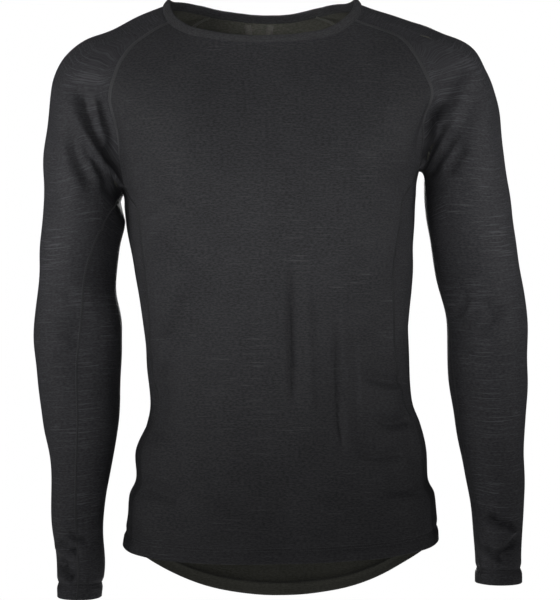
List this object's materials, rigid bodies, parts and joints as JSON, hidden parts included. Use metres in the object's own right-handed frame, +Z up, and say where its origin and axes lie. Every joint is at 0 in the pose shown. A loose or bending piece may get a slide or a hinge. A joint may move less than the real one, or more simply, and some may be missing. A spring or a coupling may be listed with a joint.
{
  "type": "base layer top",
  "caption": "Long-sleeved raglan base layer top in fine dark jersey, filled out as when worn, open at neck, hem and cuffs, with a dropped back hem and a hanging loop.",
  "frame": {"origin": "middle of the neck opening, at the height of the neck points of the shoulders", "axes": "+Z up, +X to the right of somebody who looks at the front, -Y is the front"},
  "size_m": [0.6157, 0.251, 0.7621],
  "materials": {
    "jersey": "fine merino jersey, charcoal black with faint lighter slub streaks, soft matt sheen",
    "binding": "folded jersey binding, charcoal black, matt",
    "tape": "woven tape with stitched edges, dark olive black"
  },
  "bodies": {
    "root": {"front_panel": "jersey", "back_panel": "jersey", "left_side_panel": "jersey", "right_side_panel": "jersey", "left_sleeve": "jersey", "right_sleeve": "jersey", "neck_binding": "binding", "hanging_loop": "tape"}
  },
  "joints": []
}
